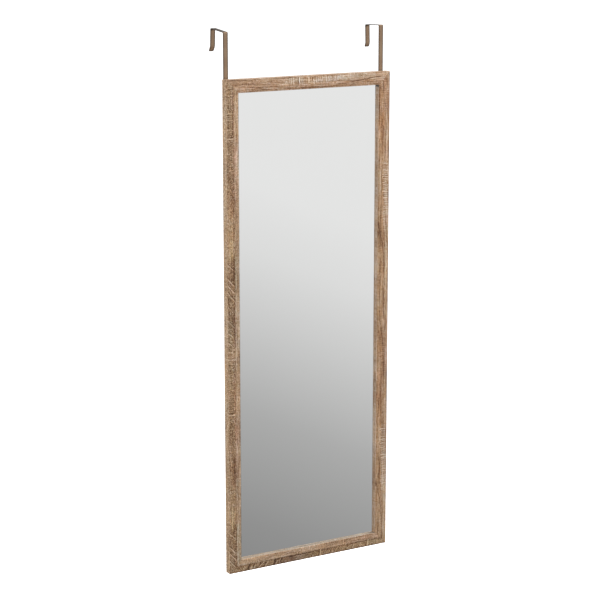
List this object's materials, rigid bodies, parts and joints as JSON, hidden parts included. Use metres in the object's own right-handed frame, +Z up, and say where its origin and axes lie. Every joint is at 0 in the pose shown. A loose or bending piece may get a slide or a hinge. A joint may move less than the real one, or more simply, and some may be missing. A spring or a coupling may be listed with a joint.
{
  "type": "over the door mirror",
  "caption": "Tall narrow framed mirror that hangs on a door from two flat steel hooks, each adjustable in height through slots on the frame's back.",
  "frame": {"origin": "middle of the door's top front edge: z = 0 is the top of the door and y = 0 is the face of the door that the mirror hangs on", "axes": "+X to the right across the mirror as seen by a viewer, +Y away from the viewer into the door, +Z up"},
  "size_m": [0.36, 0.0736, 1.0405],
  "materials": {
    "oak_foil": "matt oak decor foil with saw marks, wrapped round fibreboard",
    "mirror": "polished, silvered at the back",
    "card": "grey-brown board",
    "fibreboard": "hard fibreboard, smooth brown",
    "coated_steel": "satin bronze-brown powder coat",
    "zinc_steel": "bright zinc",
    "rubber": "soft dark rubber"
  },
  "bodies": {
    "frame": {"left_stile": "oak_foil", "right_stile": "oak_foil", "top_rail": "oak_foil", "bottom_rail": "oak_foil", "corner_v_nails": "zinc_steel", "mirror_glass": "mirror", "filler_card": "card", "backing_board": "fibreboard", "retaining_points": "zinc_steel", "hook_screws": "zinc_steel", "hook_washers": "zinc_steel", "bumper_pads": "rubber"},
    "left_hook": {"left_hook": "coated_steel"},
    "right_hook": {"right_hook": "coated_steel"}
  },
  "joints": [
    {"name": "left_hook_slide", "type": "slide", "parent": "frame", "child": "left_hook", "axis": [0, 0, 1], "range_m": [-0.012, 0.012]},
    {"name": "right_hook_slide", "type": "slide", "parent": "frame", "child": "right_hook", "axis": [0, 0, 1], "range_m": [-0.012, 0.012]}
  ]
}
